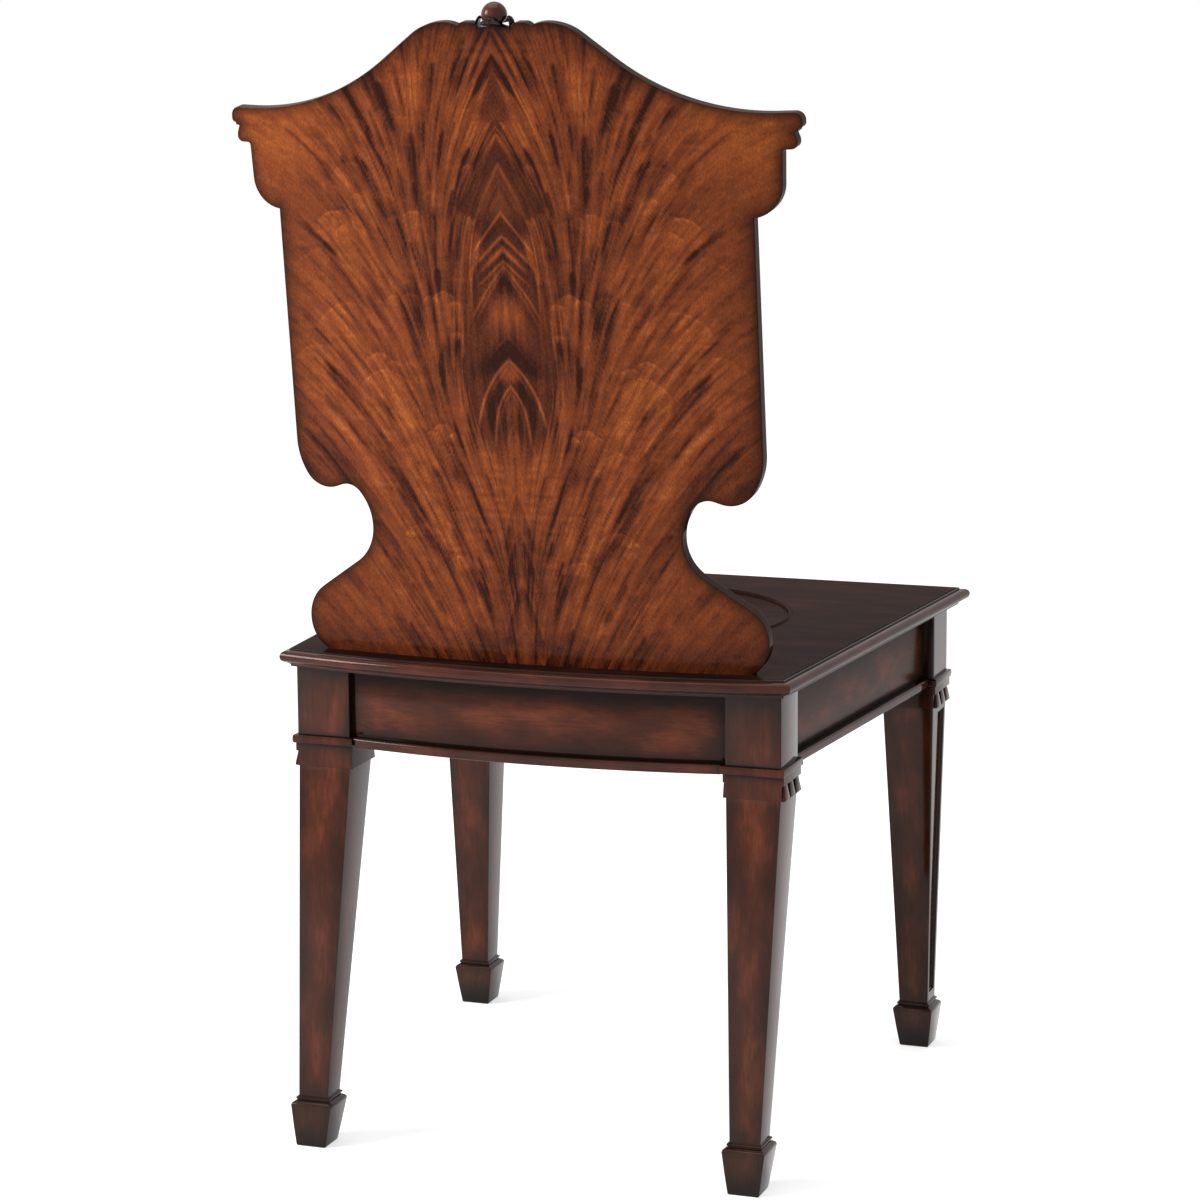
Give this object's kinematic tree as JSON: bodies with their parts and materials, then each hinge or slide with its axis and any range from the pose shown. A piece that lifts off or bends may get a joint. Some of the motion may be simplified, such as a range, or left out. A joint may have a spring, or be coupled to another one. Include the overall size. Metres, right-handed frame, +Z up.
{
  "type": "hall chair",
  "caption": "Wooden hall chair with a shaped, bowed back board, a dished seat and square tapered legs on spade feet.",
  "frame": {"origin": "On the floor under the middle of the chair's overall width and depth.", "axes": "+Z up; the chair faces -Y; +X is at the sitter's left."},
  "size_m": [0.52, 0.5538, 0.9878],
  "materials": {
    "mahogany": "dark red-brown mahogany under gloss lacquer",
    "flame_veneer": "book-matched flame mahogany veneer under gloss lacquer",
    "inner_wood": "bare sawn hardwood",
    "screw_steel": "plain steel"
  },
  "bodies": {
    "root": {"back_core": "mahogany", "back_veneer_left": "flame_veneer", "back_veneer_right": "flame_veneer", "front_veneer_left": "flame_veneer", "front_veneer_right": "flame_veneer", "edge_moulding_left": "mahogany", "edge_moulding_right": "mahogany", "finial_ball": "mahogany", "finial_leaves": "mahogany", "seat_board": "mahogany", "seat_moulding_front": "mahogany", "seat_moulding_rear": "mahogany", "seat_moulding_left": "mahogany", "seat_moulding_right": "mahogany", "rail_front": "mahogany", "rail_rear": "mahogany", "rail_left": "mahogany", "rail_right": "mahogany", "rail_bead_front": "mahogany", "rail_bead_rear": "mahogany", "rail_bead_left": "mahogany", "rail_bead_right": "mahogany", "leg_front_left": "mahogany", "leg_front_right": "mahogany", "leg_rear_left": "mahogany", "leg_rear_right": "mahogany", "collar_front_left": "mahogany", "collar_front_right": "mahogany", "collar_rear_left": "mahogany", "collar_rear_right": "mahogany", "guttae_front_left": "mahogany", "guttae_front_right": "mahogany", "guttae_rear_left": "mahogany", "guttae_rear_right": "mahogany", "spade_front_left": "mahogany", "spade_front_right": "mahogany", "spade_rear_left": "mahogany", "spade_rear_right": "mahogany", "corner_block_front_left": "inner_wood", "corner_block_front_right": "inner_wood", "corner_block_rear_left": "inner_wood", "corner_block_rear_right": "inner_wood", "corner_screws": "screw_steel", "seat_screws": "screw_steel"}
  },
  "joints": []
}
